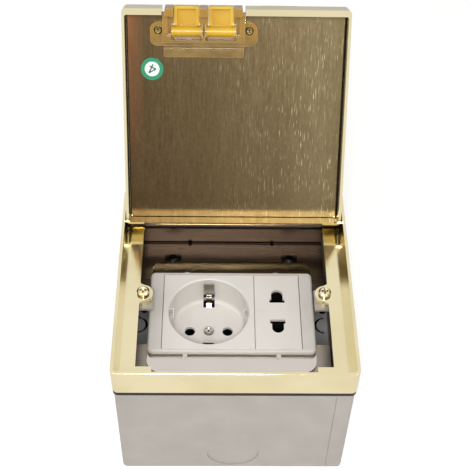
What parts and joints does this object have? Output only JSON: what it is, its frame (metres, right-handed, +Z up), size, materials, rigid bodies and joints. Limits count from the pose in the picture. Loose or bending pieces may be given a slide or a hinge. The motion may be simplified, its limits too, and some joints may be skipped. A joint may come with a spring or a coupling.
{
  "type": "floor socket box",
  "caption": "Flush floor socket box: folded steel box, brass trim frame, hinged lid tray with cable flaps, round earthed socket and flat-pin socket on a sunk yoke.",
  "frame": {"origin": "centre of the box underside", "axes": "+Z up, lid hinge towards +Y, lid front edge towards -Y, earthed socket towards -X"},
  "size_m": [0.11, 0.1529, 0.1742],
  "materials": {
    "trim_brass": "polished",
    "liner_metal": "brushed, bronze tint",
    "box_steel": "satin galvanised",
    "cradle_steel": "satin",
    "yoke_steel": "satin",
    "gasket_rubber": "matt",
    "backing_black": "matt",
    "socket_white": "satin moulded",
    "base_dark": "moulded",
    "contact_brass": "pressed",
    "clip_nickel": "nickel plated",
    "screw_black": "black oxide",
    "screw_steel": "zinc plated",
    "hatch_amber": "clear amber moulding",
    "flap_yellow": "moulded",
    "label_green": "printed film"
  },
  "bodies": {
    "socket_box": {"back_box": "box_steel", "centre_screw": "screw_steel", "cradle_front": "cradle_steel", "cradle_rear": "cradle_steel", "ear_spacer_left": "box_steel", "ear_spacer_right": "box_steel", "earth_clip": "clip_nickel", "earth_screw": "screw_steel", "earth_tab": "cradle_steel", "earth_washer": "screw_steel", "face_frame": "socket_white", "frame_screw_left": "screw_steel", "frame_screw_right": "screw_steel", "gasket": "gasket_rubber", "hinge_pin_left": "screw_steel", "hinge_pin_right": "screw_steel", "insert_yoke": "yoke_steel", "lug_left": "box_steel", "lug_right": "box_steel", "pin2_base": "base_dark", "pin2_contact_front": "contact_brass", "pin2_contact_rear": "contact_brass", "pin2_cover": "socket_white", "pin2_screw_front": "screw_steel", "pin2_screw_rear": "screw_steel", "pin_contact_left": "contact_brass", "pin_contact_right": "contact_brass", "schuko_base": "base_dark", "schuko_cover": "socket_white", "terminal_screw_earth": "screw_steel", "terminal_screw_left": "screw_steel", "terminal_screw_right": "screw_steel", "trim_frame": "trim_brass", "yoke_screw_front_left": "screw_black", "yoke_screw_front_right": "screw_black", "yoke_screw_rear_left": "screw_black", "yoke_screw_rear_right": "screw_black"},
    "lid": {"lid_shell": "trim_brass", "lid_backing": "backing_black", "lid_liner": "liner_metal", "lift_tab": "trim_brass", "hatch_base": "hatch_amber", "flap_pin": "screw_steel", "hatch_screw_left": "screw_steel", "hatch_screw_right": "screw_steel", "inspection_label": "label_green"},
    "flap_left_body": {"flap_left": "flap_yellow"},
    "flap_right_body": {"flap_right": "flap_yellow"}
  },
  "joints": [
    {"name": "lid_hinge", "type": "hinge", "parent": "socket_box", "child": "lid", "pos_m": [0, 0.0468, 0.0817], "axis": [1, 0, 0], "range_deg": [0, 118]},
    {"name": "flap_left_hinge", "type": "hinge", "parent": "lid", "child": "flap_left_body", "pos_m": [-0.02335, 0.08896, 0.15907], "axis": [-1, 0, 0], "range_deg": [0, 90]},
    {"name": "flap_right_hinge", "type": "hinge", "parent": "lid", "child": "flap_right_body", "pos_m": [-0.00725, 0.08896, 0.15907], "axis": [-1, 0, 0], "range_deg": [0, 90]}
  ]
}
